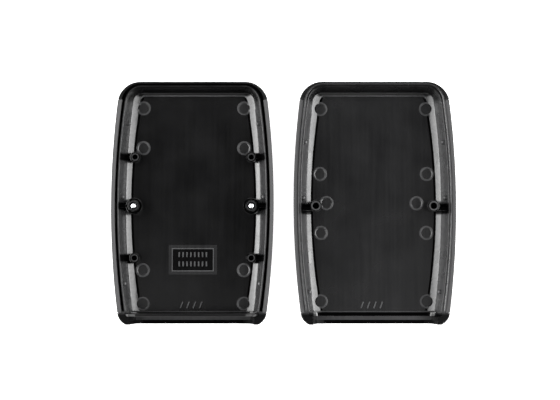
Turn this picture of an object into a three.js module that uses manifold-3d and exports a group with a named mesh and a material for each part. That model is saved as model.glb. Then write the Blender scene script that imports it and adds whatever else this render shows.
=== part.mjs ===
// Hand-held electronics enclosure, lying open: base and lid side by side, insides up.
// Millimetres, +Z up. Base at -X, lid at +X, rounded ends at +Y, panel ends at -Y.
// Inside each half, u runs across (X) and v along (Y), from the middle of that half.

import * as THREE from 'three';
import { mergeVertices } from 'three/addons/utils/BufferGeometryUtils.js';
import Module from 'manifold-3d';

const wasm = await Module();
wasm.setup();

// Driving dimensions
const LENGTH = 117.4;          // each half, along v
const WIDTH = 78.6;            // each half at its widest, across u
const HALF_HEIGHT = 12;        // one half; the closed box is twice this
const GAP = 9.4;               // between the two halves as they lie open
const FLOOR = 2;               // thickness of the flat back of each half

// Plan outline
const BOW = 3.4;               // how far the sides pull in, at BOW_LENGTH from the middle
const BOW_LENGTH = 53;
const BOW_DEEPENING = 0.16;    // extra bow for each millimetre that an outline is inset
const CORNER_RADIUS = 9.5;     // rounded corners at +v
const CORNER_MIN = 2;
const CORNER_SHRINK = 0.88;    // how fast the corners sharpen with the inset
const HEEL_RADIUS = 6;         // corners at the panel end
const HEEL_TURN = 1.12;        // radians turned before the flat end cuts the corner off

// Side profile: each wall is a stretch of an ellipse that meets the parting plane upright
const OUTER_SWEEP = 1.22;      // radians of ellipse from the parting plane to the back
const OUTER_SIDE_PULL = 8.3;   // how much narrower the back is than the rim, each side
const OUTER_TOP_PULL = 4.2;    // the same at the rounded end
const OUTER_HEEL_PULL = 0.5;   // the same at the panel end
const INNER_SWEEP = 1.31;
const INNER_SIDE_RIM = 3.8;    // inset of the cavity's edge at the parting plane
const INNER_SIDE_FLOOR = 8.5;  // inset of the cavity's floor
const INNER_TOP_RIM = 2.6;
const INNER_TOP_FLOOR = 5.9;

// Grips and the recess that they sit in
const GRIP_THICKNESS = 1.6;
const SEAT_GAP = 0.3;
const GRIP_FROM = -53;
const GRIP_TO = 50;
const GRIP_BOTTOM = 1.6;
const GRIP_TOP = 11.85;

// Tongue and groove around the parting plane: insets at the sides and at the rounded end
const GROOVE = { side: [GRIP_THICKNESS, 3.15], top: [0.8, 1.95], depth: 1.6 };
const TONGUE = { side: [2.25, 2.85], top: [1.1, 1.65], height: 1.1 };

// Panel end: a low ledge, a rib, the panel's slot and a low stop, in that order from the flat end.
// Heights are above the floor; the stands are how far they reach in from the side walls.
const LEDGE = { width: 2.1, height: 0.7, stand: 0.8 };
const RIB = { width: 1.9, height: 1.4, stand: 1 };
const SLOT_WIDTH = 1.8;
const SLOT_SINK = 0.6;         // the slot is cut this far into the floor and walls
const STOP = { width: 0.6, height: 0.5, stand: 0.3 };
const PANEL_THICKNESS = 1.2;
const PANEL_GAP = 0.3;

// Screw bosses
const BOSS_U = 28.4;
const BOSS_V = -1.5;
const BOSS_TOP = 11.85;
const BOSS_RADIUS = 2.85;
const SOCKET_RADIUS = 4;       // lower part of the base's boss, around the counterbore
const SOCKET_TOP = 9;
const COUNTERBORE_RADIUS = 3.1;
const COUNTERBORE_DEPTH = 8;
const BORE_RADIUS = 1.85;
const PILOT_RADIUS = 1.45;
const PILOT_DEPTH = 9;
const BOSS_RIB_TOP = 9.6;
const BOSS_RIB_THICKNESS = 1.2;
const LID_RIB_THICKNESS = 1.8;
const LID_RIB_SHIFT = -1.2;    // the lid's ribs join its bosses off centre

// Circuit board posts in the base
const POST_U = 28.3;
const POST_V = [22.5, -26.6];
const POST_RADIUS = 2.55;
const POST_HOLE_RADIUS = 1.15;
const POST_HOLE_DEPTH = 4.5;
const POST_TOP = 7;
const POST_RIB_TOP = 6;

// Screws
const SCREW_BOTTOM = 0.3;
const HEAD_RADIUS = 2.7;
const HEAD_HEIGHT = 2;
const DRIVE_RADIUS = 1.3;
const DRIVE_DEPTH = 1.1;
const SHANK_RADIUS = 1.25;
const SCREW_TIP = 11.7;
const TIP_CHAMFER = 0.5;

// Fineness of the facets
const SIDE_STEPS = 8;
const CORNER_STEPS = 5;
const HEEL_STEPS = 4;
const WALL_STEPS = 6;
const ROUND_STEPS = 24;

const HALF_LENGTH = LENGTH / 2;
const CENTRE_OFFSET = (WIDTH + GAP) / 2;
const FAR = 100;               // larger than the object, for cutting blocks
const SLOT_FROM = LEDGE.width + RIB.width;
const STOP_FROM = SLOT_FROM + SLOT_WIDTH;
const END_DEPTH = STOP_FROM + STOP.width;

const MATERIALS = {
  shell: new THREE.MeshStandardMaterial({ color: 0x1b1b1d, roughness: 0.35, metalness: 0 }),
  grip: new THREE.MeshStandardMaterial({ color: 0x5c5c5e, roughness: 0.75, metalness: 0 }),
  panel: new THREE.MeshStandardMaterial({ color: 0x1f1f21, roughness: 0.5, metalness: 0 }),
  screw: new THREE.MeshStandardMaterial({ color: 0xd8d8da, roughness: 0.3, metalness: 1 }),
};

// Solids

function toSolid(geometry) {
  const bare = geometry.clone();
  bare.deleteAttribute('normal');
  bare.deleteAttribute('uv');
  const merged = mergeVertices(bare, 1e-5);
  const mesh = new wasm.Mesh({
    numProp: 3,
    vertProperties: new Float32Array(merged.attributes.position.array),
    triVerts: new Uint32Array(merged.index.array),
  });
  return new wasm.Manifold(mesh);
}

function toGeometry(solid) {
  const { vertProperties, triVerts } = solid.getMesh();
  const geometry = new THREE.BufferGeometry();
  geometry.setAttribute('position', new THREE.BufferAttribute(vertProperties, 3));
  geometry.setIndex(new THREE.BufferAttribute(triVerts, 1));
  geometry.computeVertexNormals();
  return geometry;
}

function block(low, high) {
  const size = high.map((value, axis) => value - low[axis]);
  const middle = high.map((value, axis) => (value + low[axis]) / 2);
  return toSolid(new THREE.BoxGeometry(...size).translate(...middle));
}

function post(u, v, radius, bottom, top) {
  const height = top - bottom;
  const geometry = new THREE.CylinderGeometry(radius, radius, height, ROUND_STEPS);
  return toSolid(geometry.rotateX(Math.PI / 2).translate(u, v, bottom + height / 2));
}

function union(solids) {
  return solids.reduce((sum, solid) => sum.add(solid));
}

// Plan outlines. inset holds how far the outline lies inside the rim's outer edge:
// at the sides, at the rounded end (top) and at the panel end (heel).

function outline(inset, heelRadius = 0) {
  const end = HALF_LENGTH - inset.top;
  const start = inset.heel - HALF_LENGTH;
  const corner = Math.max(CORNER_MIN, CORNER_RADIUS - CORNER_SHRINK * inset.side);
  const bow = BOW + BOW_DEEPENING * inset.side;
  const edge = (v) => WIDTH / 2 - inset.side - bow * (v / BOW_LENGTH) ** 2;
  const right = [];
  const sideStart = start + heelRadius * Math.sin(HEEL_TURN);
  const sideEnd = end - corner;
  for (let i = 0; heelRadius > 0 && i < HEEL_STEPS; i += 1) {
    const turn = HEEL_TURN * (1 - i / HEEL_STEPS);
    const v = sideStart - heelRadius * Math.sin(turn);
    right.push([edge(v) - heelRadius * (1 - Math.cos(turn)), v]);
  }
  for (let i = 0; i < SIDE_STEPS; i += 1) {
    const v = sideStart + (sideEnd - sideStart) * (i / SIDE_STEPS);
    right.push([edge(v), v]);
  }
  for (let i = 0; i <= CORNER_STEPS; i += 1) {
    const turn = (Math.PI / 2) * (i / CORNER_STEPS);
    const v = sideEnd + corner * Math.sin(turn);
    right.push([edge(v) - corner * (1 - Math.cos(turn)), v]);
  }
  const left = right.map(([u, v]) => [-u, v]).reverse();
  return [...right, ...left];
}

// A closed solid through outlines stacked at rising heights.

function loft(levels) {
  const count = levels[0].points.length;
  const positions = [];
  const index = [];
  for (const { z, points } of levels) {
    for (const [u, v] of points) positions.push(u, v, z);
  }
  for (let level = 0; level + 1 < levels.length; level += 1) {
    for (let i = 0; i < count; i += 1) {
      const a = level * count + i;
      const b = level * count + ((i + 1) % count);
      index.push(a, b, b + count, a, b + count, a + count);
    }
  }
  const top = (levels.length - 1) * count;
  const hubs = positions.length / 3;
  positions.push(0, 0, levels[0].z, 0, 0, levels[levels.length - 1].z);
  for (let i = 0; i < count; i += 1) {
    const next = (i + 1) % count;
    index.push(hubs, next, i, hubs + 1, top + i, top + next);
  }
  const geometry = new THREE.BufferGeometry();
  geometry.setAttribute('position', new THREE.Float32BufferAttribute(positions, 3));
  geometry.setIndex(index);
  return toSolid(geometry);
}

// The outside of one half, drawn in by an even inset.

function outerBody(inset) {
  const rise = HALF_HEIGHT / Math.sin(OUTER_SWEEP);
  const levels = [];
  for (let i = 0; i <= WALL_STEPS; i += 1) {
    const turn = OUTER_SWEEP * (1 - i / WALL_STEPS);
    const share = (1 - Math.cos(turn)) / (1 - Math.cos(OUTER_SWEEP));
    const pulled = {
      side: inset + OUTER_SIDE_PULL * share,
      top: inset + OUTER_TOP_PULL * share,
      heel: OUTER_HEEL_PULL * share,
    };
    levels.push({ z: HALF_HEIGHT - rise * Math.sin(turn), points: outline(pulled, HEEL_RADIUS) });
  }
  return loft(levels);
}

// A space with the cavity's curved section, its walls moved out by widen and its floor
// down by sink, open upwards, and running from the rounded end to heel.

function hollow({ widen, sink, heel }) {
  const floor = FLOOR - sink;
  const rise = (HALF_HEIGHT - floor) / Math.sin(INNER_SWEEP);
  const levels = [];
  for (let i = 0; i <= WALL_STEPS; i += 1) {
    const turn = INNER_SWEEP * (1 - i / WALL_STEPS);
    const share = (1 - Math.cos(turn)) / (1 - Math.cos(INNER_SWEEP));
    const inset = {
      side: INNER_SIDE_RIM - widen + (INNER_SIDE_FLOOR - INNER_SIDE_RIM) * share,
      top: INNER_TOP_RIM - widen + (INNER_TOP_FLOOR - INNER_TOP_RIM) * share,
      heel,
    };
    levels.push({ z: HALF_HEIGHT - rise * Math.sin(turn), points: outline(inset) });
  }
  levels.push({ z: HALF_HEIGHT + 1, points: levels[WALL_STEPS].points });
  return loft(levels);
}

// The part of a solid between two distances from the flat end.

function endSlice(solid, from, to) {
  return solid.intersect(block([-FAR, from - HALF_LENGTH, -1], [FAR, to - HALF_LENGTH, FAR]));
}

// Cavity, window and panel slot of one half.

function insideSpace() {
  const cavity = hollow({ widen: 0, sink: 0, heel: END_DEPTH });
  const slot = hollow({ widen: SLOT_SINK, sink: SLOT_SINK, heel: -2 });
  return union([
    cavity,
    overRidge(RIB, -2, SLOT_FROM + 0.5),
    overRidge(LEDGE, -2, LEDGE.width),
    endSlice(slot, SLOT_FROM, STOP_FROM),
    overRidge(STOP, STOP_FROM - 0.5, END_DEPTH + 0.5),
  ]);
}

// The space over a ridge that runs across the floor and up the side walls.

function overRidge({ height, stand }, from, to) {
  return endSlice(hollow({ widen: -stand, sink: -height, heel: -2 }), from, to);
}

// A band around the rim between two sets of insets, open at the panel end.

function rimBand(band, bottom, top) {
  const prism = (which, heel) => {
    const points = outline({ side: band.side[which], top: band.top[which], heel });
    return loft([{ z: bottom, points }, { z: top, points }]);
  };
  return prism(0, END_DEPTH).subtract(prism(1, -2));
}

// Grips

function gripSpan(growth, top) {
  const low = [-FAR, GRIP_FROM - growth, GRIP_BOTTOM - growth];
  return block(low, [FAR, GRIP_TO + growth, top]);
}

function gripRecess() {
  return gripSpan(SEAT_GAP, FAR).subtract(sideColumn(GRIP_THICKNESS + SEAT_GAP));
}

// The outside body drawn in by an inset and carried on upwards past the rim.

function sideColumn(inset) {
  const points = outline({ side: inset, top: inset, heel: 0 }, HEEL_RADIUS);
  const above = loft([{ z: HALF_HEIGHT - 0.01, points }, { z: FAR, points }]);
  return outerBody(inset).add(above);
}

function gripBody(side) {
  const half = side < 0 ? block([-FAR, -FAR, 0], [0, FAR, FAR]) : block([0, -FAR, 0], [FAR, FAR, FAR]);
  const strip = outerBody(0).intersect(gripSpan(0, GRIP_TOP)).subtract(sideColumn(GRIP_THICKNESS));
  return strip.intersect(half);
}

// Bosses, posts and their ribs

function wallRib(u, v, thickness, top) {
  const out = Math.sign(u) * WIDTH / 2;
  const low = [Math.min(u, out), v - thickness / 2, 1];
  return block(low, [Math.max(u, out), v + thickness / 2, top]);
}

function baseFurniture() {
  const solids = [];
  for (const side of [-1, 1]) {
    const bossU = side * BOSS_U;
    solids.push(post(bossU, BOSS_V, SOCKET_RADIUS, 1, SOCKET_TOP));
    solids.push(post(bossU, BOSS_V, BOSS_RADIUS, 1, BOSS_TOP));
    solids.push(wallRib(bossU, BOSS_V, BOSS_RIB_THICKNESS, BOSS_RIB_TOP));
    for (const v of POST_V) {
      solids.push(post(side * POST_U, v, POST_RADIUS, 1, POST_TOP));
      solids.push(wallRib(side * POST_U, v, BOSS_RIB_THICKNESS, POST_RIB_TOP));
    }
  }
  return union(solids).intersect(sideColumn(GRIP_THICKNESS + SEAT_GAP));
}

function baseHoles() {
  const solids = [];
  for (const side of [-1, 1]) {
    const bossU = side * BOSS_U;
    solids.push(post(bossU, BOSS_V, BORE_RADIUS, -1, HALF_HEIGHT + 1));
    solids.push(post(bossU, BOSS_V, COUNTERBORE_RADIUS, -1, COUNTERBORE_DEPTH));
    for (const v of POST_V) {
      const bottom = POST_TOP - POST_HOLE_DEPTH;
      solids.push(post(side * POST_U, v, POST_HOLE_RADIUS, bottom, POST_TOP + 1));
    }
  }
  return union(solids);
}

function lidFurniture() {
  const solids = [];
  for (const side of [-1, 1]) {
    const bossU = side * BOSS_U;
    solids.push(post(bossU, BOSS_V, BOSS_RADIUS, 1, BOSS_TOP));
    solids.push(wallRib(bossU, BOSS_V + LID_RIB_SHIFT, LID_RIB_THICKNESS, BOSS_RIB_TOP));
  }
  return union(solids).intersect(sideColumn(GRIP_THICKNESS + SEAT_GAP));
}

function lidHoles() {
  const bottom = BOSS_TOP - PILOT_DEPTH;
  return union([-1, 1].map((side) => post(side * BOSS_U, BOSS_V, PILOT_RADIUS, bottom, BOSS_TOP + 1)));
}

// Pieces

function emptyHalf() {
  return outerBody(0).subtract(gripRecess()).subtract(insideSpace());
}

function baseShell() {
  const groove = rimBand(GROOVE, HALF_HEIGHT - GROOVE.depth, HALF_HEIGHT + 1);
  return emptyHalf().subtract(groove).add(baseFurniture()).subtract(baseHoles());
}

function lidShell() {
  const tongue = rimBand(TONGUE, HALF_HEIGHT - 1, HALF_HEIGHT + TONGUE.height);
  return emptyHalf().add(tongue).add(lidFurniture()).subtract(lidHoles());
}

// The panel fills the slots of both halves, so it is one half and its mirror image.

function endPanel() {
  const gap = PANEL_GAP;
  const section = hollow({ widen: SLOT_SINK - gap, sink: SLOT_SINK - gap, heel: -2 });
  const from = SLOT_FROM + (SLOT_WIDTH - PANEL_THICKNESS) / 2;
  const lower = endSlice(section, from, from + PANEL_THICKNESS);
  const trimmed = lower.subtract(block([-FAR, -FAR, HALF_HEIGHT], [FAR, FAR, FAR]));
  const upper = trimmed.mirror([0, 0, 1]).translate([0, 0, 2 * HALF_HEIGHT]);
  return trimmed.add(upper);
}

// A pan-head screw standing on its head, with a cross recess underneath.

function screw() {
  const headTop = SCREW_BOTTOM + HEAD_HEIGHT;
  const crown = HEAD_RADIUS * 0.72;
  const profile = [
    [0, SCREW_BOTTOM],
    [crown, SCREW_BOTTOM],
    [HEAD_RADIUS * 0.94, SCREW_BOTTOM + HEAD_HEIGHT * 0.3],
    [HEAD_RADIUS, SCREW_BOTTOM + HEAD_HEIGHT * 0.62],
    [HEAD_RADIUS, headTop],
    [SHANK_RADIUS, headTop],
    [SHANK_RADIUS, SCREW_TIP - TIP_CHAMFER],
    [SHANK_RADIUS - TIP_CHAMFER * 0.6, SCREW_TIP],
    [0, SCREW_TIP],
  ].map(([r, z]) => new THREE.Vector2(r, z));
  const turned = new THREE.LatheGeometry(profile, ROUND_STEPS).rotateX(Math.PI / 2);
  const arm = DRIVE_RADIUS;
  const thick = DRIVE_RADIUS / 3.5;
  const top = SCREW_BOTTOM + DRIVE_DEPTH;
  const cross = block([-arm, -thick, -1], [arm, thick, top]).add(block([-thick, -arm, -1], [thick, arm, top]));
  return toSolid(turned).subtract(cross);
}

// Assembly

function piece(name, solid, material, x, y = 0) {
  const mesh = new THREE.Mesh(toGeometry(solid), material);
  mesh.name = name;
  mesh.position.set(x, y, 0);
  return mesh;
}

const enclosure = new THREE.Group();
const base = new THREE.Group();
const lid = new THREE.Group();
base.position.x = -CENTRE_OFFSET;
lid.position.x = CENTRE_OFFSET;
enclosure.add(base, lid);

base.add(piece('base_shell', baseShell(), MATERIALS.shell, 0));
lid.add(piece('lid_shell', lidShell(), MATERIALS.shell, 0));
for (const [side, hand] of [[-1, 'left'], [1, 'right']]) {
  base.add(piece(`base_grip_${hand}`, gripBody(side), MATERIALS.grip, 0));
  lid.add(piece(`lid_grip_${hand}`, gripBody(side), MATERIALS.grip, 0));
  base.add(piece(`screw_${hand}`, screw(), MATERIALS.screw, side * BOSS_U, BOSS_V));
}
base.add(piece('end_panel', endPanel(), MATERIALS.panel, 0));

export default enclosure;
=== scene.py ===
"""Looks of a hand-held electronics enclosure that lies open: base and lid, insides up.

Shapes are made in millimetres in each half's own frame, where u runs across, v along and z up,
and are placed in metres where the frame has that half.
"""

import math

import bmesh
import bpy
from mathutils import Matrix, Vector


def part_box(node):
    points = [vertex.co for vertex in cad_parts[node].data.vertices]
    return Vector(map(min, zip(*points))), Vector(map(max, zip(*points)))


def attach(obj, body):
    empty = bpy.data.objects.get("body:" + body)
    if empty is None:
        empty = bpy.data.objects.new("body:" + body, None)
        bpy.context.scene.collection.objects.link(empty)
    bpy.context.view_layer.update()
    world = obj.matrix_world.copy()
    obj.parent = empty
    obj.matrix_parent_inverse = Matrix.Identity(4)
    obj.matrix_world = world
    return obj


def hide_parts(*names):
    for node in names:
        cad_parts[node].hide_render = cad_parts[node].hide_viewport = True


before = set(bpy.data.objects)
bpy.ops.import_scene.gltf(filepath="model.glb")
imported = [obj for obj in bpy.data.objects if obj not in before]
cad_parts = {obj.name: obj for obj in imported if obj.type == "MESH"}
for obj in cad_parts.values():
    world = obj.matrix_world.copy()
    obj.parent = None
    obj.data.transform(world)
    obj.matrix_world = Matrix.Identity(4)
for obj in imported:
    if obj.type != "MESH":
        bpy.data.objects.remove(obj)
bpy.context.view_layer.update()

MM = 0.001

# Taken from the frame
BASE_LOW, BASE_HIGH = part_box("base_shell")
LID_LOW, LID_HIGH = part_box("lid_shell")
BASE_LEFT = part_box("base_grip_left")[0].x
BASE_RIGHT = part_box("base_grip_right")[1].x
WIDTH = (BASE_RIGHT - BASE_LEFT) / MM
LENGTH = (BASE_HIGH.y - BASE_LOW.y) / MM
HALF_HEIGHT = BASE_HIGH.z / MM
BASE_CENTRE = (BASE_LEFT + BASE_RIGHT) / 2 / MM
LID_CENTRE = (LID_LOW.x + LID_HIGH.x) / 2 / MM
HALF_LENGTH = LENGTH / 2

# Plan outline
BOW = 3.4
BOW_LENGTH = 53.0
BOW_DEEPENING = 0.16
CORNER_RADIUS = 9.5
CORNER_MIN = 2.0
CORNER_SHRINK = 0.88
HEEL_RADIUS = 6.0
HEEL_TURN = 1.12
INNER_HEEL_RADIUS = 0.4

# Side profile
FLOOR = 2.0
OUTER_SWEEP = 1.22
OUTER_PULL = (8.3, 4.2, 0.5)       # side, rounded end, panel end
# Insets of the inside at the rim, the knee and the floor: at the sides, then at the rounded end
INNER_SIDE = (3.8, 6.2, 8.6)
INNER_TOP = (2.6, 4.2, 5.9)
INNER_BOW = (4.0, 3.8, 4.8)
KNEE_HEIGHT = 1.4                  # of the sloping foot of the wall, above the floor
FOOT_HOLLOW = 0.2                  # how much the foot steepens on its way up
WALL_SWEEP = 0.84
RIM_ROUND = 0.25
RIM_EASE = 0.03                    # keeps the two rims just apart when the case is closed
LIP_ROUND = 0.18
FLAT_BORDER = 0.3
SHADE_BAND = 1.1                       # width of the band of painted shade beside the foot of each wall

# Grips
GRIP_THICKNESS = 1.6
SEAT_GAP = 0.3
END_SEAM = 0.06
GRIP_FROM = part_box("base_grip_left")[0].y / MM
GRIP_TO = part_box("base_grip_left")[1].y / MM
GRIP_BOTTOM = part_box("base_grip_left")[0].z / MM
GRIP_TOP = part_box("base_grip_left")[1].z / MM
GRIP_ROUND = 0.3

# Rim
GROOVE_SIDE = (1.6, 3.15)
GROOVE_TOP = (0.8, 1.95)
GROOVE_DEPTH = 1.6
TONGUE_SIDE = (2.25, 2.85)
TONGUE_TOP = (1.1, 1.65)
TONGUE_HEIGHT = LID_HIGH.z / MM - HALF_HEIGHT

# Panel end
LEDGE_WIDTH, LEDGE_HEIGHT, LEDGE_STAND = 2.1, 0.7, 0.8
RIB_WIDTH, RIB_HEIGHT, RIB_STAND = 1.9, 1.4, 1.0
SLOT_WIDTH = 1.8
SLOT_SINK = 0.6
STOP_WIDTH, STOP_HEIGHT, STOP_STAND = 0.6, 0.5, 0.3
SLOT_FROM = LEDGE_WIDTH + RIB_WIDTH
STOP_FROM = SLOT_FROM + SLOT_WIDTH
END_DEPTH = STOP_FROM + STOP_WIDTH
PANEL_THICKNESS = (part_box("end_panel")[1].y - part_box("end_panel")[0].y) / MM
PANEL_GAP = 0.3
PANEL_ROUND = 0.15

# Bosses and posts
BOSS_V = -1.5
BOSS_U = 28.4
BOSS_TOP = 11.85
BOSS_RADIUS = 2.85
SOCKET_RADIUS = 4.0
SOCKET_TOP = 9.0
COUNTERBORE_RADIUS = 3.1
COUNTERBORE_DEPTH = 8.0
BORE_RADIUS = 1.85
PILOT_RADIUS = 1.45
PILOT_DEPTH = 9.0
BOSS_RIB_TOP = 9.6
BOSS_RIB_THICKNESS = 1.2
LID_RIB_THICKNESS = 1.8
LID_RIB_SHIFT = -1.2
POST_U = 28.3
POST_V = (22.5, -26.6)
POST_RADIUS = 2.55
POST_HOLE_RADIUS = 1.15
POST_HOLE_DEPTH = 4.5
POST_TOP = 7.0
POST_RIB_TOP = 6.0
EDGE_ROUND = 0.2
COLLAR_STEP = 0.1                  # a low step round the top of each post and boss; the top is paler as a painted highlight and the step is painted shade
POST_COLLAR = 1.85
BOSS_COLLAR = 2.3

# Moulding marks on the floors and walls
PIN_RADIUS = 3.5
PIN_SINK = 0.1
RING_WIDTH = 1.1
RING_HEIGHT = 0.08
BASE_PINS = [(24.7, 47.0), (24.7, 27.3), (24.7, -32.5), (24.7, -48.9)]
LID_PINS = [(26.0, 46.6), (26.2, 14.6), (25.8, -14.3), (25.9, -47.7)]
LID_MIDDLE_PINS = [(-23.0, 0.3), (21.1, 0.2)]
DOT_RADIUS = 1.1
DOT_DEPTH = 0.8
BASE_DOTS = ((39.0, 5.5), (3.0, 7.5), (-39.0, 10.3))
LID_DOTS = ((29.5, 9.5), (2.5, 8.0), (-43.0, 7.0))
MARK_HEIGHT = 0.3
HALO_HEIGHT = 0.06
HALO = 1.5
NAME_PLATE = (-0.3, -27.4, 20.6, 11.4)   # centre u and v, width and height
FRAME_LINE = 0.5
BAR_ROWS = (2.5, -2.0)             # from the middle of the frame
BARS = 8                           # in each row
BAR_PITCH = 1.9
BAR_LENGTH, BAR_WIDTH = 2.6, 0.8
TICKS = 4
TICK_PITCH = 3.1
TICK_MIDDLE = (-1.0, -49.4)
TICK_LENGTH, TICK_WIDTH, TICK_LEAN = 3.6, 0.7, 0.35

# Screws
SCREW_LOW, SCREW_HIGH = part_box("screw_left")
HEAD_RADIUS = 2.7
HEAD_HEIGHT = 2.0
DRIVE_RADIUS = 1.3
DRIVE_DEPTH = 1.1
CORE_RADIUS = 1.1
THREAD_RADIUS = 1.38
THREAD_PITCH = 1.27

LEVEL = 0.99999                    # a face whose normal is this close to an axis is flat

# Fineness
SIDE_STEPS = 36
CORNER_STEPS = 12
HEEL_STEPS = 8
WALL_STEPS = 18
FOOT_STEPS = 6
ROUND_STEPS = 48

# ---------------------------------------------------------------- camera, lights and floor

FRAME_WIDTH_MM = 269.8             # what the frame spans at the height of the rims
CAMERA_DISTANCE = 608.0
CAMERA_AIM = (-1.73, 1.25)
CAMERA_LEAN = math.radians(3.3)    # off the vertical, towards the panel ends
SENSOR = 36.0


def add_camera():
    data = bpy.data.cameras.new("camera")
    data.sensor_width = SENSOR
    data.lens = SENSOR * CAMERA_DISTANCE / FRAME_WIDTH_MM
    data.clip_end = 10
    camera = bpy.data.objects.new("camera", data)
    back = CAMERA_DISTANCE * math.sin(CAMERA_LEAN)
    up = CAMERA_DISTANCE * math.cos(CAMERA_LEAN)
    camera.location = (CAMERA_AIM[0] * MM, (CAMERA_AIM[1] - back) * MM, (HALF_HEIGHT + up) * MM)
    camera.rotation_euler = (CAMERA_LEAN, 0, 0)
    bpy.context.scene.collection.objects.link(camera)
    bpy.context.scene.camera = camera


def add_softbox(name, place, size, radiance):
    """A rectangular light that faces the middle of the object; place and size in metres."""
    data = bpy.data.lights.new(name, "AREA")
    data.shape = "RECTANGLE"
    data.size, data.size_y = size
    data.energy = radiance * math.pi * size[0] * size[1]
    light = bpy.data.objects.new(name, data)
    light.location = place
    light.rotation_euler = Vector(place).to_track_quat("Z", "Y").to_euler()
    bpy.context.scene.collection.objects.link(light)


def add_lights():
    for side in (-1, 1):
        add_softbox("low_softbox", (side * 0.66, 0.0, 0.36), (1.0, 0.2), 12.5)
        add_softbox("high_softbox", (side * 0.56, 0.0, 0.60), (1.0, 0.3), 7.0)
    add_softbox("rear_softbox", (0.0, 0.5, 0.95), (0.6, 0.35), 2.0)
    add_softbox("overhead_panel", (0.22, -0.26, 0.95), (0.5, 0.45), 0.55)
    add_softbox("small_overhead_panel", (-0.2, -0.28, 0.95), (0.3, 0.45), 0.6)
    add_world()
    bpy.context.scene.view_settings.view_transform = "Standard"


def add_world():
    """A pale surround near the horizon under a dark ceiling."""
    world = bpy.data.worlds.new("studio")
    world.use_nodes = True
    tree = world.node_tree
    background = tree.nodes["Background"]
    background.inputs["Color"].default_value = (1, 1, 1, 1)
    direction = tree.nodes.new("ShaderNodeTexCoord")
    split = tree.nodes.new("ShaderNodeSeparateXYZ")
    fall = tree.nodes.new("ShaderNodeMapRange")
    fall.interpolation_type = "SMOOTHSTEP"
    fall.inputs["From Min"].default_value = 0.1
    fall.inputs["From Max"].default_value = 0.45
    fall.inputs["To Min"].default_value = 1.3
    fall.inputs["To Max"].default_value = 0.03
    tree.links.new(direction.outputs["Generated"], split.inputs["Vector"])
    tree.links.new(split.outputs["Z"], fall.inputs["Value"])
    tree.links.new(fall.outputs["Result"], background.inputs["Strength"])
    bpy.context.scene.world = world


def add_floor():
    mesh = bpy.data.meshes.new("floor")
    reach = 3.0
    corners = [(-reach, -reach, 0), (reach, -reach, 0), (reach, reach, 0), (-reach, reach, 0)]
    mesh.from_pydata(corners, [], [(0, 1, 2, 3)])
    floor = bpy.data.objects.new("floor", mesh)
    bpy.context.scene.collection.objects.link(floor)
    material, shader = new_material("floor_white")
    shader.inputs["Base Color"].default_value = (0.8, 0.8, 0.8, 1)
    shader.inputs["Roughness"].default_value = 0.9
    shader.inputs["Emission Color"].default_value = (1, 1, 1, 1)
    shader.inputs["Emission Strength"].default_value = 0.9
    mesh.materials.append(material)


# ---------------------------------------------------------------- materials


def new_material(name):
    material = bpy.data.materials.new(name)
    material.use_nodes = True
    return material, material.node_tree.nodes["Principled BSDF"]


class Nodes:
    """Short ways to add linked nodes to a material."""

    def __init__(self, material):
        self.tree = material.node_tree
        self.coordinates = self.tree.nodes.new("ShaderNodeTexCoord").outputs["Object"]

    def link(self, source, target):
        self.tree.links.new(source, target)

    def stretched(self, scale):
        mapping = self.tree.nodes.new("ShaderNodeMapping")
        mapping.inputs["Scale"].default_value = scale
        self.link(self.coordinates, mapping.inputs["Vector"])
        return mapping.outputs["Vector"]

    def noise(self, scale, detail=2.0, vector=None, roughness=0.5):
        noise = self.tree.nodes.new("ShaderNodeTexNoise")
        noise.inputs["Scale"].default_value = scale
        noise.inputs["Detail"].default_value = detail
        noise.inputs["Roughness"].default_value = roughness
        self.link(vector or self.coordinates, noise.inputs["Vector"])
        return noise.outputs["Fac"]

    def remap(self, value, low, high, start=0.3, end=0.7):
        node = self.tree.nodes.new("ShaderNodeMapRange")
        node.inputs["From Min"].default_value = start
        node.inputs["From Max"].default_value = end
        node.inputs["To Min"].default_value = low
        node.inputs["To Max"].default_value = high
        self.link(value, node.inputs["Value"])
        return node.outputs["Result"]

    def mix_colour(self, factor, first, second):
        node = self.tree.nodes.new("ShaderNodeMix")
        node.data_type = "RGBA"
        self.link(factor, node.inputs["Factor"])
        node.inputs[6].default_value = (*first, 1)
        node.inputs[7].default_value = (*second, 1)
        return node.outputs[2]

    def fade(self, colour, factor, dark):
        """colour where factor is 1, dark where it is 0."""
        node = self.tree.nodes.new("ShaderNodeMix")
        node.data_type = "RGBA"
        self.link(factor, node.inputs["Factor"])
        node.inputs[6].default_value = (*dark, 1)
        self.link(colour, node.inputs[7])
        return node.outputs[2]

    def times(self, first, second):
        node = self.tree.nodes.new("ShaderNodeMath")
        node.operation = "MULTIPLY"
        self.link(first, node.inputs[0])
        self.link(second, node.inputs[1])
        return node.outputs[0]

    def along(self, centre, near, far, low, high):
        """low up to near millimetres from v = centre, high from far on."""
        split = self.tree.nodes.new("ShaderNodeSeparateXYZ")
        self.link(self.coordinates, split.inputs["Vector"])
        offset = self.tree.nodes.new("ShaderNodeMath")
        offset.operation = "SUBTRACT"
        self.link(split.outputs["Y"], offset.inputs[0])
        offset.inputs[1].default_value = centre * MM
        distance = self.tree.nodes.new("ShaderNodeMath")
        distance.operation = "ABSOLUTE"
        self.link(offset.outputs[0], distance.inputs[0])
        return self.remap(distance.outputs[0], low, high, near * MM, far * MM)

    def bump(self, height, strength, distance, under=None):
        node = self.tree.nodes.new("ShaderNodeBump")
        node.inputs["Strength"].default_value = strength
        node.inputs["Distance"].default_value = distance
        self.link(height, node.inputs["Height"])
        if under is not None:
            self.link(under, node.inputs["Normal"])
        return node.outputs["Normal"]


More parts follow.
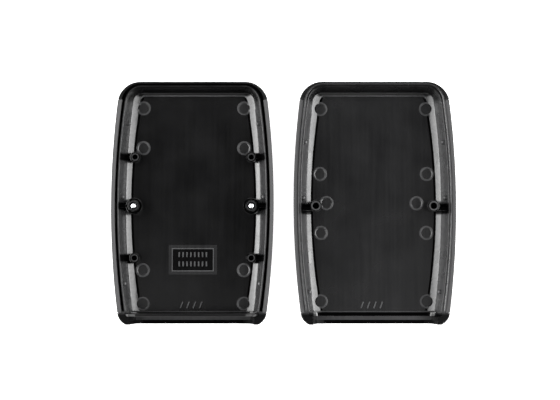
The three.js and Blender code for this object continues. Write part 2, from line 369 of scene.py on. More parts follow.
def inside_plastic(name, dark, light, smooth, rough, relief, ior=1.53):
    """Black ABS with faint flow streaks along v, from smooth to rough."""
    material, shader = new_material(name)
    nodes = Nodes(material)
    streaks = nodes.noise(1.0, 3.0, nodes.stretched((900, 25, 300)))
    cloud = nodes.noise(60.0, 2.0)
    nodes.link(nodes.mix_colour(nodes.remap(streaks, 0, 1), dark, light), shader.inputs["Base Color"])
    nodes.link(nodes.remap(cloud, smooth, rough), shader.inputs["Roughness"])
    ripple = nodes.bump(streaks, relief, 0.0002)
    grain = nodes.noise(2500.0, 2.0)
    nodes.link(nodes.bump(grain, relief / 2, 0.0001, ripple), shader.inputs["Normal"])
    shader.inputs["IOR"].default_value = ior
    return material


def side_plastic(name, dark, light, smooth, rough, relief, rib_shade=()):
    """Black ABS that is paler along the sides than at both ends, with painted shade at both ends and close to
    the ribs.

    The last argument lists (v, half-width) of the places close to the ribs where shade is painted.
    """
    material, shader = new_material(name)
    nodes = Nodes(material)
    middle = (GRIP_FROM + GRIP_TO) / 2
    reach = (GRIP_TO - GRIP_FROM) / 2
    # painted shade: the colour fades to near black past both ends of the grips
    pale = nodes.along(middle, reach - 1.5, reach + 1.0, 1, 0)
    # painted shade of each listed rib on the wall beside it
    for v, half_width in rib_shade:
        clear = nodes.along(v, half_width, half_width + 0.8, 0, 1)
        pale = nodes.times(pale, clear)
    mottle = nodes.noise(700.0, 3.0)
    colour = nodes.mix_colour(nodes.remap(mottle, 0, 1), dark, light)
    nodes.link(nodes.fade(colour, pale, (0.0015, 0.0015, 0.0016)), shader.inputs["Base Color"])
    # reflection is weaker in a band near the panel end, and beside each listed rib it is dimmed as painted
    # shade
    shaded_gloss = nodes.along(GRIP_FROM - 3, 2.0, 3.5, 0.15, 0.5)
    for v, half_width in rib_shade:
        shaded_gloss = nodes.times(shaded_gloss, nodes.along(v, half_width, half_width + 0.8, 0.12, 1))
    nodes.link(shaded_gloss, shader.inputs["Specular IOR Level"])
    nodes.link(nodes.remap(nodes.noise(90.0, 2.0), smooth, rough), shader.inputs["Roughness"])
    swell = nodes.bump(nodes.noise(1.0, 3.0, nodes.stretched((300, 420, 300))), relief, 0.0003)
    nodes.link(nodes.bump(nodes.noise(2500.0, 2.0), relief / 2, 0.0001, swell), shader.inputs["Normal"])
    shader.inputs["IOR"].default_value = 1.53
    return material


def outside_plastic():
    """Black ABS with the fine spark-eroded texture of the mould's outer face."""
    material, shader = new_material("shell_outside")
    nodes = Nodes(material)
    cloud = nodes.noise(45.0, 3.0)
    colour = nodes.mix_colour(cloud, (0.003, 0.003, 0.0033), (0.006, 0.006, 0.0064))
    nodes.link(colour, shader.inputs["Base Color"])
    spark = nodes.noise(3200.0, 2.0)
    nodes.link(nodes.remap(cloud, 0.42, 0.52), shader.inputs["Roughness"])
    nodes.link(nodes.bump(spark, 0.35, 0.00012), shader.inputs["Normal"])
    shader.inputs["IOR"].default_value = 1.53
    return material


def grip_rubber():
    material, shader = new_material("grip_rubber")
    nodes = Nodes(material)
    cloud = nodes.noise(70.0, 3.0)
    colour = nodes.mix_colour(cloud, (0.027, 0.027, 0.028), (0.043, 0.043, 0.044))
    nodes.link(colour, shader.inputs["Base Color"])
    nodes.link(nodes.remap(cloud, 0.62, 0.74), shader.inputs["Roughness"])
    grain = nodes.noise(2600.0, 3.0)
    nodes.link(nodes.bump(grain, 0.4, 0.00015), shader.inputs["Normal"])
    shader.inputs["Sheen Weight"].default_value = 0.15
    shader.inputs["Sheen Roughness"].default_value = 0.5
    return material


def panel_plastic():
    material, shader = new_material("panel_plastic")
    nodes = Nodes(material)
    cloud = nodes.noise(50.0, 3.0)
    colour = nodes.mix_colour(cloud, (0.0015, 0.0015, 0.0016), (0.003, 0.003, 0.0031))
    nodes.link(colour, shader.inputs["Base Color"])
    nodes.link(nodes.remap(cloud, 0.30, 0.40), shader.inputs["Roughness"])
    leather = nodes.noise(2200.0, 3.0)
    nodes.link(nodes.bump(leather, 0.4, 0.00012), shader.inputs["Normal"])
    shader.inputs["Specular IOR Level"].default_value = 0.2
    return material


def zinc():
    material, shader = new_material("screw_zinc")
    nodes = Nodes(material)
    cloud = nodes.noise(900.0, 3.0)
    nodes.link(nodes.mix_colour(cloud, (0.72, 0.73, 0.75), (0.9, 0.9, 0.9)), shader.inputs["Base Color"])
    nodes.link(nodes.remap(cloud, 0.35, 0.5), shader.inputs["Roughness"])
    shader.inputs["Metallic"].default_value = 1.0
    return material


# ---------------------------------------------------------------- mesh tools


def closed_mesh(name, loops):
    """An object with a closed skin over loops of equally many points, and flat ends."""
    bm = bmesh.new()
    rings = [[bm.verts.new(point) for point in loop] for loop in loops]
    for lower, upper in zip(rings, rings[1:]):
        for i in range(len(lower)):
            j = (i + 1) % len(lower)
            bm.faces.new((lower[i], lower[j], upper[j], upper[i]))
    bm.faces.new(rings[0][::-1])
    bm.faces.new(rings[-1])
    bmesh.ops.recalc_face_normals(bm, faces=bm.faces)
    mesh = bpy.data.meshes.new(name)
    bm.to_mesh(mesh)
    bm.free()
    made = bpy.data.objects.new(name, mesh)
    bpy.context.scene.collection.objects.link(made)
    return made


def combine(target, tool, operation):
    """target joined with or cut by tool, which is used up."""
    modifier = target.modifiers.new("combine", "BOOLEAN")
    modifier.object = tool
    modifier.operation = operation
    modifier.solver = "MANIFOLD"
    graph = bpy.context.evaluated_depsgraph_get()
    mesh = bpy.data.meshes.new_from_object(target.evaluated_get(graph))
    target.modifiers.clear()
    old = target.data
    target.data = mesh
    bpy.data.meshes.remove(old)
    used = tool.data
    bpy.data.objects.remove(tool)
    bpy.data.meshes.remove(used)


def cut(target, tool):
    combine(target, tool, "DIFFERENCE")


def join(target, tool):
    combine(target, tool, "UNION")


def turned(name, u, v, profile, steps=ROUND_STEPS):
    """A closed solid of revolution about a vertical axis; profile is a list of (radius, z)."""
    loops = []
    for radius, z in profile:
        angles = [2 * math.pi * i / steps for i in range(steps)]
        loops.append([(u + radius * math.cos(a), v + radius * math.sin(a), z) for a in angles])
    return closed_mesh(name, loops)


def slab(name, low, high):
    corners = [(low[0], low[1]), (high[0], low[1]), (high[0], high[1]), (low[0], high[1])]
    return closed_mesh(name, [[(x, y, z) for x, y in corners] for z in (low[2], high[2])])


# ---------------------------------------------------------------- shape of one half


def mix(start, end, share):
    return start + (end - start) * share


def edge(v, side, bow=None):
    """Half-width of an outline that lies side inside the rim's widest outline, at v."""
    if bow is None:
        bow = BOW + BOW_DEEPENING * side
    return WIDTH / 2 - side - bow * (v / BOW_LENGTH) ** 2


def outline(side, top, heel, heel_radius, bow=None):
    """Plan outline, inset at the sides, the rounded end and the panel end."""
    end = HALF_LENGTH - top
    start = heel - HALF_LENGTH
    corner = max(CORNER_MIN, CORNER_RADIUS - CORNER_SHRINK * side)
    side_start = start + heel_radius * math.sin(HEEL_TURN)
    side_end = end - corner
    right = []
    if heel_radius > 0:
        for i in range(HEEL_STEPS):
            turn = HEEL_TURN * (1 - i / HEEL_STEPS)
            v = side_start - heel_radius * math.sin(turn)
            right.append((edge(v, side, bow) - heel_radius * (1 - math.cos(turn)), v))
    for i in range(SIDE_STEPS):
        v = side_start + (side_end - side_start) * i / SIDE_STEPS
        right.append((edge(v, side, bow), v))
    for i in range(CORNER_STEPS + 1):
        turn = math.pi / 2 * i / CORNER_STEPS
        v = side_end + corner * math.sin(turn)
        right.append((edge(v, side, bow) - corner * (1 - math.cos(turn)), v))
    return right + [(-u, v) for u, v in reversed(right)]


def outer_wall(steps=WALL_STEPS):
    """(share of the full pull, z) up the outside of a half, from the back to the rim."""
    rise = HALF_HEIGHT / math.sin(OUTER_SWEEP)
    points = []
    for i in range(steps + 1):
        turn = OUTER_SWEEP * (1 - i / steps)
        share = (1 - math.cos(turn)) / (1 - math.cos(OUTER_SWEEP))
        points.append((share, HALF_HEIGHT - rise * math.sin(turn)))
    return points


def inner_wall(floor=FLOOR):
    """(side inset, end inset, bow, z) up the inside of a half: a sloping foot, then the wall."""
    knee = FLOOR + KNEE_HEIGHT
    rows = []
    for i in range(FOOT_STEPS + 1):
        share = i / FOOT_STEPS
        climb = share * (1 - FOOT_HOLLOW + FOOT_HOLLOW * share)
        rows.append((*at_foot(share), mix(floor, knee, climb)))
    for i in range(1, WALL_STEPS + 1):
        turn = WALL_SWEEP * (1 - i / WALL_STEPS)
        share = (1 - math.cos(turn)) / (1 - math.cos(WALL_SWEEP))
        drop = (HALF_HEIGHT - knee) * math.sin(turn) / math.sin(WALL_SWEEP)
        rows.append((*at_wall(share), HALF_HEIGHT - drop))
    return rows


def at_foot(share):
    return tuple(mix(inset[2], inset[1], share) for inset in (INNER_SIDE, INNER_TOP, INNER_BOW))


def at_wall(share):
    return tuple(mix(inset[0], inset[1], share) for inset in (INNER_SIDE, INNER_TOP, INNER_BOW))


def outer_half_width(v, z, inset=0.0):
    rise = HALF_HEIGHT / math.sin(OUTER_SWEEP)
    turn = math.asin(min(1, (HALF_HEIGHT - z) / rise))
    share = (1 - math.cos(turn)) / (1 - math.cos(OUTER_SWEEP))
    return edge(v, inset + OUTER_PULL[0] * share)


def inner_half_width(v, z):
    rows = inner_wall()
    for lower, upper in zip(rows, rows[1:]):
        if z <= upper[3]:
            break
    share = min(1, max(0, (z - lower[3]) / (upper[3] - lower[3])))
    return mix(edge(v, lower[0], lower[2]), edge(v, upper[0], upper[2]), share)


def plain_tray(name):
    """One half with its walls and floor, and a solid wall across the panel end."""
    loops = []

    def add(side, top, heel, z, heel_radius, bow=None):
        points = outline(side, top, heel, heel_radius, bow)
        loops.append([(u, v, z) for u, v in points])

    side, top, heel = OUTER_PULL
    add(side + FLAT_BORDER, top + FLAT_BORDER, heel + FLAT_BORDER, 0, HEEL_RADIUS)
    for share, z in outer_wall()[:-1]:
        add(side * share, top * share, heel * share, z, HEEL_RADIUS)
    for turn in (0.0, 0.5, 1.0):
        angle = turn * math.pi / 2
        back = RIM_ROUND * (1 - math.cos(angle))
        add(back, back, back, HALF_HEIGHT - RIM_EASE - RIM_ROUND * (1 - math.sin(angle)), HEEL_RADIUS)
    rim_side, rim_top, rim_bow = at_wall(0)
    for turn in (0.0, 0.5, 1.0):
        angle = turn * math.pi / 2
        short = LIP_ROUND * (1 - math.sin(angle))
        drop = LIP_ROUND * (1 - math.cos(angle))
        z = HALF_HEIGHT - RIM_EASE - drop
        add(rim_side - short, rim_top - short, END_DEPTH - short, z, INNER_HEEL_RADIUS, rim_bow)
    wall = [row for row in inner_wall() if row[3] < HALF_HEIGHT - LIP_ROUND - 0.05]
    for inset_side, inset_top, bow, z in reversed(wall):
        add(inset_side, inset_top, END_DEPTH, z, INNER_HEEL_RADIUS, bow)
    border = FLAT_BORDER
    side, top, bow = at_foot(0)
    add(side + SHADE_BAND, top + border, END_DEPTH + border, FLOOR, INNER_HEEL_RADIUS, bow)
    return closed_mesh(name, loops)


def end_run(name, stand, height, start, end, steps=6):
    """A solid with the cavity's section, drawn in by stand and with its floor raised by height.

    It fills the space between two distances from the flat end.
    """
    wall = inner_wall(FLOOR + height)
    above = HALF_HEIGHT + 3
    loops = []
    for i in range(steps + 1):
        v = mix(start, end, i / steps) - HALF_LENGTH
        right = [(edge(v, side + stand, bow), v, z) for side, _, bow, z in wall]
        right.append((right[-1][0], v, above))
        loops.append(right + [(-u, w, z) for u, w, z in reversed(right)])
    return closed_mesh(name, loops)


def rim_run(name, side, top, start, profile):
    """A band that follows the rim from one end of the panel opening round to the other.

    start is its distance from the flat end; profile is a list of (share of the way from the
    outer inset to the inner inset, z).
    """
    paths = []
    for share, _ in profile:
        paths.append(outline(mix(*side, share), mix(*top, share), start, 0))
    loops = []
    for i in range(len(paths[0])):
        loops.append([(*path[i], z) for path, (_, z) in zip(paths, profile)])
    return closed_mesh(name, loops)


def grip_section(v, side, inset, bottom, top, steps=WALL_STEPS):
    """Points up the outside surface at v on one side, from bottom to top."""
    points = []
    for i in range(steps + 1):
        z = bottom + (top - bottom) * i / steps
        points.append((side * outer_half_width(v, min(z, HALF_HEIGHT), inset), v, z))
    return points


def recess_tool(name, side):
    """What is cut away for one grip, with its gap."""
    inset = GRIP_THICKNESS + SEAT_GAP
    start = GRIP_FROM - END_SEAM
    end = GRIP_TO + END_SEAM
    bottom = GRIP_BOTTOM - SEAT_GAP
    above = HALF_HEIGHT + 2
    loops = []
    for i in range(SIDE_STEPS + 1):
        v = start + (end - start) * i / SIDE_STEPS
        points = grip_section(v, side, inset, bottom, HALF_HEIGHT)
        points.append((points[-1][0], v, above))
        points.append((side * WIDTH, v, above))
        points.append((side * WIDTH, v, bottom))
        loops.append(points)
    return closed_mesh(name, loops)


def wall_rib(name, side, u, v, thickness, top):
    """A rib from a boss or post to the side wall, ending inside the wall."""
    heights = [FLOOR / 2 + (top - FLOOR / 2) * i / 8 for i in range(9)]
    loops = []
    for w in (v - thickness / 2, v + thickness / 2):
        loop = []
        for z in heights:
            inside = inner_half_width(w, z)
            recess = outer_half_width(w, z, GRIP_THICKNESS + SEAT_GAP)
            loop.append((side * (inside * 0.6 + recess * 0.4), w, z))
        loop.append((side * u, w, top))
        loop.append((side * u, w, FLOOR / 2))
        loops.append(loop)
    return closed_mesh(name, loops)


def rounded_post(u, v, radius, bottom, top):
    r = EDGE_ROUND
    arc = [(radius - r * (1 - math.cos(a)), top - r * (1 - math.sin(a))) for a in (0, 0.52, 1.05, 1.57)]
    return turned("post", u, v, [(radius, bottom), *arc])


def collared_post(shell, u, v, radius, collar, top):
    join(shell, rounded_post(u, v, radius, 1, top - COLLAR_STEP))
    # the collar's top takes the paler rim finish as a painted highlight ring, and the step round it painted
    # shade
    join(shell, turned("collar", u, v, [(collar, top - 1), (collar, top)]))


def bore(u, v, radius, bottom, top):
    """A hole from bottom up through top, with a small chamfer at its mouth."""
    mouth = EDGE_ROUND * 0.8
    wide = radius + mouth
    return turned("bore", u, v, [(radius, bottom), (radius, top - mouth), (wide, top), (wide, top + 1)])


def add_pin(shell, u, v):
    """An ejector pin's witness: a sunk disc inside a low ring."""
    crest = FLOOR + RING_HEIGHT
    outer = PIN_RADIUS
    inner = PIN_RADIUS - RING_WIDTH
    slope = RING_WIDTH * 0.35
    ring = [(outer, FLOOR - 0.5), (outer, FLOOR), (outer - slope, crest)]
    join(shell, turned("ring", u, v, ring))
    disc = [(inner, FLOOR - PIN_SINK), (inner + slope, crest + 0.01), (inner + slope, crest + 1)]
    cut(shell, turned("disc", u, v, disc))


def dot_place(v, top):
    return inner_half_width(v, top) - DOT_RADIUS / 2


def wall_dot(side, v, top):
    """A small domed pad, half sunk in a side wall."""
    u = dot_place(v, top)
    dome = [(DOT_RADIUS * math.cos(a), top + DOT_RADIUS * 0.6 * math.sin(a)) for a in (0, 0.4, 0.8, 1.2, 1.5)]
    return turned("dot", side * u, v, [(DOT_RADIUS, top - DOT_DEPTH), *dome], 20)


def bar(u, v, length, width, lean=0.0):
    """A low raised bar on the floor, leaning by lean radians from v."""
    along = Vector((math.sin(lean), math.cos(lean))) * length / 2
    across = Vector((math.cos(lean), -math.sin(lean))) * width / 2
    base = [(-1, -1), (1, -1), (1, 1), (-1, 1)]
    loops = []
    for z, shrink in ((FLOOR - 0.3, 1.0), (FLOOR, 1.0), (FLOOR + MARK_HEIGHT, 0.7)):
        shorten = 1 - (1 - shrink) * width / length
        corners = [Vector((u, v)) + across * i * shrink + along * j * shorten for i, j in base]
        loops.append([(*corner, z) for corner in corners])
    return closed_mesh("bar", loops)


# ---------------------------------------------------------------- pieces


def finish_mesh(piece, centre, materials, choose=None, sharp=30):
    """Places a piece in metres, gives it its materials and smooth shading with sharp edges."""
    mesh = piece.data
    for vertex in mesh.vertices:
        vertex.co = Vector(((vertex.co.x + centre) * MM, vertex.co.y * MM, vertex.co.z * MM))
    mesh.materials.clear()
    for material in materials:
        mesh.materials.append(material)
    mesh.update()
    mesh.shade_smooth()
    mesh.set_sharp_from_angle(angle=math.radians(sharp))
    for polygon in mesh.polygons:
        polygon.use_smooth = max(abs(part) for part in polygon.normal) < LEVEL
        if choose is not None:
            x, y, z = polygon.center / MM
            polygon.material_index = choose(x - centre, y, z, polygon.normal)
    mesh.update()


# The finishes in order; the near-black one with almost no reflection is painted shade, and the rim, mark and
# bright ones carry painted highlights on some faces.
OUTSIDE, WALL, FLAT, TOP, MARK_AND_HIGHLIGHT, DISC, SHADED, RIM, BRIGHT = range(9)


def face_kind(u, v, z, normal, dots):
    """Which of a half's finishes a face has; dots lists the (v, top) of its wall dots."""
    # the tops of the wall dots take the pale finish as a painted glint
    for dot_v, top in dots:
        if -0.05 < z - top < 0.8 and math.hypot(abs(u) - dot_place(dot_v, top), v - dot_v) < DOT_RADIUS:
            return BRIGHT
    if normal.z > 0.5 and FLOOR - SLOT_SINK - 0.1 < z < FLOOR + MARK_HEIGHT + 0.01:
        return floor_kind(u, v, z, normal)
    if normal.z > LEVEL:
        return level_kind(v, z)
    if z < FLOOR / 2:
        return OUTSIDE
    upright = upright_kind(u, v)
    if upright is not None:
        return upright
    faces_out = normal.x * u + normal.y * v > 0
    return OUTSIDE if faces_out else WALL


def level_kind(v, z):
    """The finish of a level face above the floor."""
    # At the panel end the rib and stop tops are paler as a painted highlight and the ledge gets painted
    # shade.
    if v < END_DEPTH - HALF_LENGTH and z < HALF_HEIGHT / 2:
        return MARK_AND_HIGHLIGHT if z > FLOOR + LEDGE_HEIGHT + 0.1 or v > STOP_FROM - HALF_LENGTH else SHADED
    # Rib, socket and step tops, the groove floor and low level faces get painted shade; other level tops are
    # paler as a painted highlight.
    shaded_tops = (POST_RIB_TOP, BOSS_RIB_TOP, SOCKET_TOP, POST_TOP - COLLAR_STEP, BOSS_TOP - COLLAR_STEP,
                 HALF_HEIGHT - GROOVE_DEPTH)
    if z < POST_TOP - COLLAR_STEP - 1.5 or min(abs(z - top) for top in shaded_tops) < 0.01:
        return SHADED
    return RIM


def upright_kind(u, v):
    """The finish of the sides of a boss, post or rib, and None away from them."""
    for spot_u, spot_v, radius, hole in ((BOSS_U, BOSS_V, SOCKET_RADIUS, BORE_RADIUS),
                                         (POST_U, POST_V[0], POST_RADIUS, POST_HOLE_RADIUS),
                                         (POST_U, POST_V[1], POST_RADIUS, POST_HOLE_RADIUS)):
        reach = math.hypot(abs(u) - spot_u, v - spot_v)
        # the walls of holes get painted shade
        if reach < hole + 0.1:
            return SHADED
        # the rib's sides, and as painted shade the foot of the wall close beside the rib, take the near-black
        # polished finish
        beside_rib = abs(u) > spot_u and abs(v - spot_v) < max(BOSS_RIB_THICKNESS, LID_RIB_THICKNESS)
        if reach < radius + 0.05 or beside_rib and abs(u) < inner_half_width(v, FLOOR + KNEE_HEIGHT) - 0.2:
            return TOP
    return None


def floor_kind(u, v, z, normal):
    """The finish of a face on or near a half's floor."""
    near = 0.01
    # the sunk slot floor gets painted shade
    if v < STOP_FROM - HALF_LENGTH:
        return SHADED if z < FLOOR else TOP
    if z > FLOOR + HALO_HEIGHT + near:
        return BRIGHT if abs(u) < inner_half_width(v, FLOOR) else WALL
    if z > FLOOR + near:
        return DISC if normal.z > LEVEL else MARK_AND_HIGHLIGHT
    if z < FLOOR - near:
        in_frame = abs(u - NAME_PLATE[0]) < NAME_PLATE[2] / 2 and abs(v - NAME_PLATE[1]) < NAME_PLATE[3] / 2
        if in_frame:
            return TOP
        return DISC if normal.z > LEVEL else MARK_AND_HIGHLIGHT
    # painted shade in a band beside the foot of each wall
    return SHADED if abs(u) > edge(v, INNER_SIDE[2] + SHADE_BAND, INNER_BOW[2]) else FLAT


def open_half(name):
    half = plain_tray(name)
    cut(half, end_run("over_rib", RIB_STAND, RIB_HEIGHT, -2, SLOT_FROM + 0.5))
    cut(half, end_run("over_ledge", LEDGE_STAND, LEDGE_HEIGHT, -2, LEDGE_WIDTH))
    cut(half, end_run("slot", -SLOT_SINK, -SLOT_SINK, SLOT_FROM, STOP_FROM))
    cut(half, end_run("over_stop", STOP_STAND, STOP_HEIGHT, STOP_FROM - 0.5, END_DEPTH + 0.5))
    for side in (-1, 1):
        cut(half, recess_tool("recess", side))
    return half


def base_shell(materials):
    shell = open_half("base_housing")
    bottom = HALF_HEIGHT - GROOVE_DEPTH
    above = HALF_HEIGHT + 1
    profile = [(0, bottom), (0, above), (1, above), (1, bottom)]
    cut(shell, rim_run("groove", GROOVE_SIDE, GROOVE_TOP, END_DEPTH, profile))
    for side in (-1, 1):
        u = side * BOSS_U
        join(shell, rounded_post(u, BOSS_V, SOCKET_RADIUS, 1, SOCKET_TOP))
        collared_post(shell, u, BOSS_V, BOSS_RADIUS, BOSS_COLLAR, BOSS_TOP)
        join(shell, wall_rib("rib", side, BOSS_U, BOSS_V, BOSS_RIB_THICKNESS, BOSS_RIB_TOP))
        cut(shell, bore(u, BOSS_V, BORE_RADIUS, -1, BOSS_TOP))
        counterbore = [(COUNTERBORE_RADIUS, -1), (COUNTERBORE_RADIUS, COUNTERBORE_DEPTH)]
        cut(shell, turned("counterbore", u, BOSS_V, counterbore))
        for v in POST_V:
            collared_post(shell, side * POST_U, v, POST_RADIUS, POST_COLLAR, POST_TOP)
            join(shell, wall_rib("rib", side, POST_U, v, BOSS_RIB_THICKNESS, POST_RIB_TOP))
            cut(shell, bore(side * POST_U, v, POST_HOLE_RADIUS, POST_TOP - POST_HOLE_DEPTH, POST_TOP))
        for pin_u, pin_v in BASE_PINS:
            add_pin(shell, side * pin_u, pin_v)
        for v, top in BASE_DOTS:
            join(shell, wall_dot(side, v, top))
    add_floor_marks(shell)
    finish_mesh(shell, BASE_CENTRE, materials, lambda *face: face_kind(*face, BASE_DOTS))
    return shell


def frame_block(name, grow, low, high):
    u, v, width, height = NAME_PLATE
    across = width / 2 + grow
    along = height / 2 + grow
    return slab(name, (u - across, v - along, low), (u + across, v + along, high))


def add_floor_marks(shell):
    """A plain raised frame with rows of plain bars in it, and a few leaning ticks."""
    join(shell, frame_block("halo", HALO, 1, FLOOR + HALO_HEIGHT))
    join(shell, frame_block("frame", 0, 1, FLOOR + MARK_HEIGHT))
    cut(shell, frame_block("field", -FRAME_LINE, FLOOR - PIN_SINK, FLOOR + 1))
    u, v = NAME_PLATE[:2]
    for row in BAR_ROWS:
        for i in range(BARS):
            join(shell, bar(u + (i - (BARS - 1) / 2) * BAR_PITCH, v + row, BAR_LENGTH, BAR_WIDTH))
    add_ticks(shell)


def add_ticks(shell):
    for i in range(TICKS):
        u = (i - (TICKS - 1) / 2) * TICK_PITCH + TICK_MIDDLE[0]
        join(shell, bar(u, TICK_MIDDLE[1], TICK_LENGTH, TICK_WIDTH, TICK_LEAN))


def lid_shell(materials):
    shell = open_half("lid_housing")
    low = HALF_HEIGHT - 1
    top = HALF_HEIGHT + TONGUE_HEIGHT
    round_off = 0.15
    profile = [(0, low), (0, top - round_off), (0.3, top), (0.7, top), (1, top - round_off), (1, low)]
    join(shell, rim_run("tongue", TONGUE_SIDE, TONGUE_TOP, END_DEPTH + SEAT_GAP, profile))
    for side in (-1, 1):
        u = side * BOSS_U
        collared_post(shell, u, BOSS_V, BOSS_RADIUS, BOSS_COLLAR, BOSS_TOP)
        join(shell, wall_rib("rib", side, BOSS_U, BOSS_V + LID_RIB_SHIFT, LID_RIB_THICKNESS, BOSS_RIB_TOP))
        cut(shell, bore(u, BOSS_V, PILOT_RADIUS, BOSS_TOP - PILOT_DEPTH, BOSS_TOP))
        for pin_u, pin_v in LID_PINS:
            add_pin(shell, side * pin_u, pin_v)
        add_pin(shell, *LID_MIDDLE_PINS[0 if side < 0 else 1])
        for v, top in LID_DOTS:
            join(shell, wall_dot(side, v, top))
    add_ticks(shell)
    finish_mesh(shell, LID_CENTRE, materials, lambda *face: face_kind(*face, LID_DOTS))
    return shell


def grip(name, centre, side, material):
    """One rubber side strip with rounded edges, a hair from the walls of its recess."""
    thick = GRIP_THICKNESS + SEAT_GAP / 2
    steps = SIDE_STEPS * 2
    loops = []
    for i in range(-1, steps + 2):
        t = min(max(i / steps, 0), 1)
        tight = GRIP_ROUND if i in (-1, steps + 1) else 0.0
        v = GRIP_FROM + (GRIP_TO - GRIP_FROM) * t
        if tight == 0.0 and i in (0, steps):
            v += GRIP_ROUND if i == 0 else -GRIP_ROUND
        loops.append(grip_loop(v, side, thick, tight))
    piece = closed_mesh(name, loops)
    finish_mesh(piece, centre, [material])
    return piece


def grip_loop(v, side, thick, tight):
    """Cross-section of a grip: up the outside, over the top and down the inside."""
    bottom = GRIP_BOTTOM + tight
    top = GRIP_TOP - tight
    r = GRIP_ROUND
    loop = []
    for i in range(WALL_STEPS + 1):
        z = bottom + r + (top - bottom - 2 * r) * i / WALL_STEPS
        loop.append((side * outer_half_width(v, z, tight), v, z))
    for angle in (0.52, 1.05, 1.57):
        z = top - r * (1 - math.sin(angle))
        loop.append((side * outer_half_width(v, z, tight + r * (1 - math.cos(angle))), v, z))
    for i in range(WALL_STEPS + 1):
        z = top + (bottom - top) * i / WALL_STEPS
        loop.append((side * outer_half_width(v, z, thick - tight), v, z))
    for angle in (1.57, 1.05, 0.52):
        z = bottom + r * (1 - math.sin(angle))
        loop.append((side * outer_half_width(v, z, tight + r * (1 - math.cos(angle))), v, z))
    return loop


def end_panel(material):
    """The slot-in panel: one half's section and its mirror image, with softened edges."""
    gap = PANEL_GAP
    start = SLOT_FROM + (SLOT_WIDTH - PANEL_THICKNESS) / 2
    end = start + PANEL_THICKNESS
    loops = []
    r = PANEL_ROUND
    for depth, shrink in ((start, r), (start + r, 0), (end - r, 0), (end, r)):
        v = depth - HALF_LENGTH
        stand = gap + shrink - SLOT_SINK
        lower = [(edge(v, side + stand, bow), z) for side, _, bow, z in inner_wall(FLOOR + stand)]
        right = lower + [(u, 2 * HALF_HEIGHT - z) for u, z in reversed(lower[:-1])]
        loops.append([(u, v, z) for u, z in right] + [(-u, v, z) for u, z in reversed(right)])
    piece = closed_mesh("end_plate", loops)
    finish_mesh(piece, BASE_CENTRE, [material])
    return piece


def screw(name, u, material):
    """A pan-head thread-forming screw standing on its head."""
    bottom = SCREW_LOW.z / MM
    tip = SCREW_HIGH.z / MM
    head_top = bottom + HEAD_HEIGHT
    r = HEAD_RADIUS
    head = [(r * 0.55, bottom), (r * 0.72, bottom + 0.05), (r * 0.86, bottom + 0.25),
            (r * 0.95, bottom + 0.6), (r, bottom + 1.2), (r, head_top - 0.15),
            (r - 0.15, head_top), (CORE_RADIUS + 0.3, head_top)]
    steps = ROUND_STEPS
    loops = [[(radius * math.cos(2 * math.pi * i / steps), radius * math.sin(2 * math.pi * i / steps), z)
              for i in range(steps)] for radius, z in head]
    loops += thread_loops(head_top + 0.2, tip, steps)
    piece = closed_mesh(name, [[(x + u, y + BOSS_V, z) for x, y, z in loop] for loop in loops])
    arm = DRIVE_RADIUS
    thin = DRIVE_RADIUS / 3.5
    for half in ((arm, thin), (thin, arm)):
        low = (u - half[0], BOSS_V - half[1], bottom - 1)
        cut(piece, slab("drive", low, (u + half[0], BOSS_V + half[1], bottom + DRIVE_DEPTH)))
    finish_mesh(piece, BASE_CENTRE, [material], sharp=35)
    return piece


def thread_loops(start, tip, steps):
    """Loops of a single thread that fades in at the head and out at the blunt tip."""
    rows = 64
    loops = []
    for row in range(rows + 1):
        z = start + (tip - start) * row / rows
        fade = min(1, row / 5, (rows - row) / 8)
        loop = []
        for i in range(steps):
            angle = 2 * math.pi * i / steps
            phase = ((z - start) / THREAD_PITCH - i / steps) % 1
            crest = max(0, 1 - abs(phase - 0.5) / 0.28)
            radius = CORE_RADIUS + (THREAD_RADIUS - CORE_RADIUS) * crest * fade
            if row == rows:
                radius = CORE_RADIUS - 0.25
            loop.append((radius * math.cos(angle), radius * math.sin(angle), z))
        loops.append(loop)
    return loops


def place(piece, body, node, slot):
    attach(piece, body)
    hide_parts(node)


# name, dark and light colour, smoothest and roughest, relief, and IOR where it isn't ABS's
PLAIN_FINISHES = [
    # raised marks, and a painted highlight on the rib and stop tops at the panel end
    ("raised_marks_and_painted_highlight", (0.011, 0.011, 0.0115), (0.018, 0.018, 0.019), 0.30, 0.40, 0.14),
    # paler still: the name frame, its bars and the ticks, and painted glints on the wall dots
    ("name_frame_and_painted_glints", (0.028, 0.028, 0.029), (0.042, 0.042, 0.043), 0.30, 0.40, 0.14),
    ("pin_discs", (0.005, 0.005, 0.0052), (0.009, 0.009, 0.0094), 0.24, 0.30, 0.12),
    # near black with almost no reflection: painted shade in creases, slots, holes, the groove and on low tops
    ("painted_shade", (0.0005, 0.0005, 0.0005), (0.001, 0.001, 0.001), 0.40, 0.50, 0.05, 1.06),
    ("rims_and_ribs", (0.001, 0.001, 0.001), (0.002, 0.002, 0.0021), 0.08, 0.14, 0.03),
    ("base_floor", (0.0012, 0.0012, 0.0013), (0.0026, 0.0026, 0.0028), 0.18, 0.24, 0.12),
    ("lid_floor", (0.003, 0.003, 0.0033), (0.0055, 0.0055, 0.0058), 0.22, 0.28, 0.14),
]


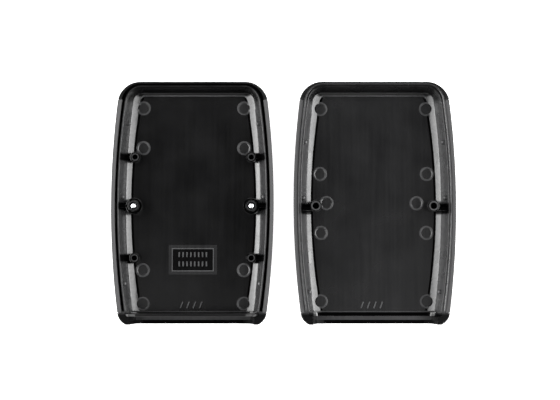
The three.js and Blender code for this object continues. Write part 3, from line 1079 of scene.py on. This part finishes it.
def build():
    add_camera()
    add_lights()
    add_floor()
    outside = outside_plastic()
    mark_and_highlight, bright, disc, shade_finish, polished, base_floor, lid_floor = [
        inside_plastic(*finish) for finish in PLAIN_FINISHES]
    # places beside the ribs where the walls get painted shade
    base_rib_shade = [(BOSS_V, 1.4), (POST_V[0], 1.4), (POST_V[1], 1.4)]
    lid_rib_shade = [(BOSS_V + LID_RIB_SHIFT, 2.2)]
    base_wall = side_plastic("base_walls", (0.016, 0.016, 0.0165), (0.036, 0.036, 0.037),
                             0.16, 0.26, 0.18, base_rib_shade)
    lid_wall = side_plastic("lid_walls", (0.024, 0.024, 0.0245), (0.044, 0.044, 0.045),
                            0.22, 0.34, 0.18, lid_rib_shade)
    # the rim finish is paler, as a painted highlight on level tops of rims, posts and bosses, and fades to
    # painted shade at both ends
    base_rim = side_plastic("base_rim", (0.020, 0.020, 0.0205), (0.034, 0.034, 0.035), 0.20, 0.30, 0.12)
    lid_rim = side_plastic("lid_rim", (0.026, 0.026, 0.0265), (0.040, 0.040, 0.041), 0.20, 0.30, 0.12)
    base_set = [outside, base_wall, base_floor, polished, mark_and_highlight, disc, shade_finish, base_rim, bright]
    lid_set = [outside, lid_wall, lid_floor, polished, mark_and_highlight, disc, shade_finish, lid_rim, bright]
    rubber = grip_rubber()
    place(base_shell(base_set), "base", "base_shell", "shell_plastic")
    place(lid_shell(lid_set), "lid", "lid_shell", "shell_plastic")
    for hand, side in (("left", -1), ("right", 1)):
        strip = grip(f"base_strip_{hand}", BASE_CENTRE, side, rubber)
        place(strip, "base", f"base_grip_{hand}", "grip_rubber")
        strip = grip(f"lid_strip_{hand}", LID_CENTRE, side, rubber)
        place(strip, "lid", f"lid_grip_{hand}", "grip_rubber")
    metal = zinc()
    for hand, side in (("left", -1), ("right", 1)):
        piece = screw(f"case_screw_{hand}", side * BOSS_U, metal)
        place(piece, f"screw_{hand}", f"screw_{hand}", "screw_zinc")
    place(end_panel(panel_plastic()), "base", "end_panel", "panel_plastic")


build()
